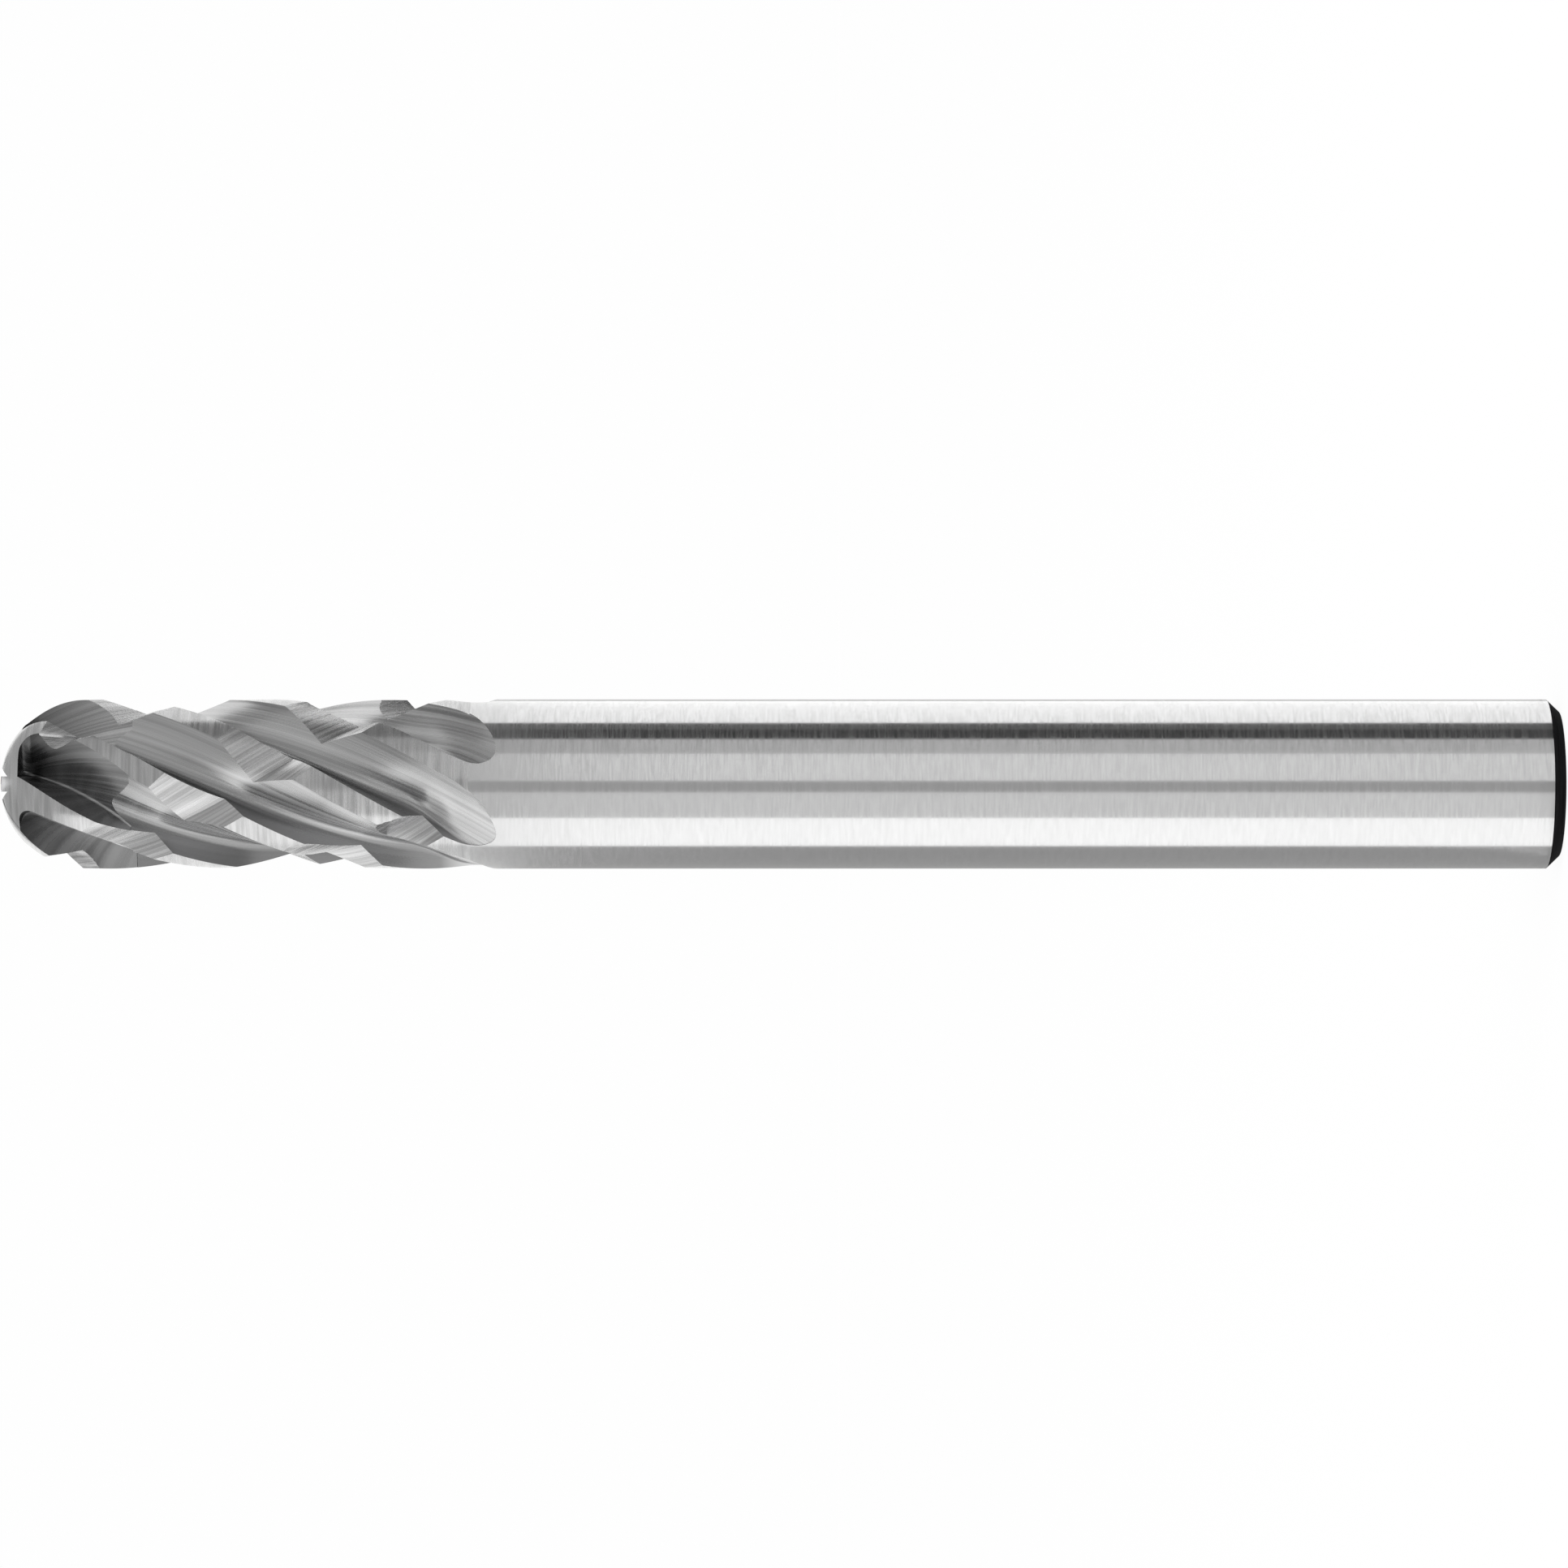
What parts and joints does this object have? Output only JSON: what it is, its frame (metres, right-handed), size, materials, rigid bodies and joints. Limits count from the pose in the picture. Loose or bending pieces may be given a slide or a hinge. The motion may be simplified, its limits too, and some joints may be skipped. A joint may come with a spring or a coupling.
{
  "type": "carbide burr",
  "caption": "Solid carbide rotary burr with right-hand helical teeth, chip-breaker grooves, a gashed ball nose and a straight round shank.",
  "frame": {"origin": "centre of the shank's flat end face", "axes": "+Z along the tool's axis, from the shank's flat end to the ball nose; in the picture +Z points left, +X up and -Y to the camera"},
  "size_m": [0.006, 0.006, 0.0552],
  "materials": {
    "carbide": "fine ground cemented carbide"
  },
  "bodies": {
    "root": {"burr": "carbide"}
  },
  "joints": []
}
